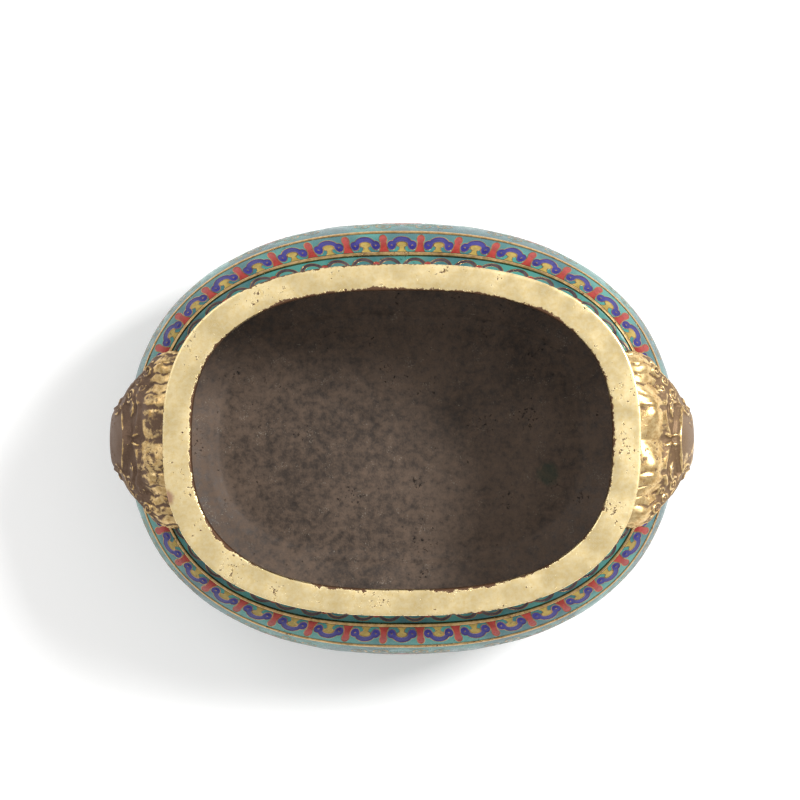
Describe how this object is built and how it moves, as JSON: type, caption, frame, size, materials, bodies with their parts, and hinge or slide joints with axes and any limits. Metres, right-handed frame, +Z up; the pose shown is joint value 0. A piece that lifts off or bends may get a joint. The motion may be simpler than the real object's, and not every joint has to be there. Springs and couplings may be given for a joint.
{
  "type": "oval incense burner",
  "caption": "Oval enamelled copper incense burner with a flat gilt rim, a bulging body on a splayed foot, and cast beast-mask handles riveted to both ends.",
  "frame": {"origin": "centre of the foot's underside", "axes": "+X through the right mask handle along the length, +Y across the width, +Z up out of the mouth"},
  "size_m": [0.2712, 0.201, 0.1106],
  "materials": {
    "copper_patina": "dark brown patina, matt and speckled",
    "gilt_copper": "worn mercury gilding, satin",
    "gilt_bronze": "worn gilding over brown bronze",
    "enamel": "opaque polished enamel with fine pits"
  },
  "bodies": {
    "root": {"bowl_upper_wall": "copper_patina", "bowl_lower_wall": "copper_patina", "bowl_floor": "copper_patina", "rim_collar": "gilt_copper", "neck_enamel": "enamel", "neck_fillet": "gilt_copper", "shoulder_enamel": "enamel", "shoulder_fillet": "gilt_copper", "belly_enamel": "enamel", "lower_fillet": "gilt_copper", "petal_border_enamel": "enamel", "foot_fillet": "gilt_copper", "foot_ring": "gilt_copper", "base_plate": "gilt_copper", "right_mask_handle": "gilt_bronze", "right_rivet_lower": "copper_patina", "right_rivet_upper": "copper_patina", "left_mask_handle": "gilt_bronze", "left_rivet_lower": "copper_patina", "left_rivet_upper": "copper_patina"}
  },
  "joints": []
}
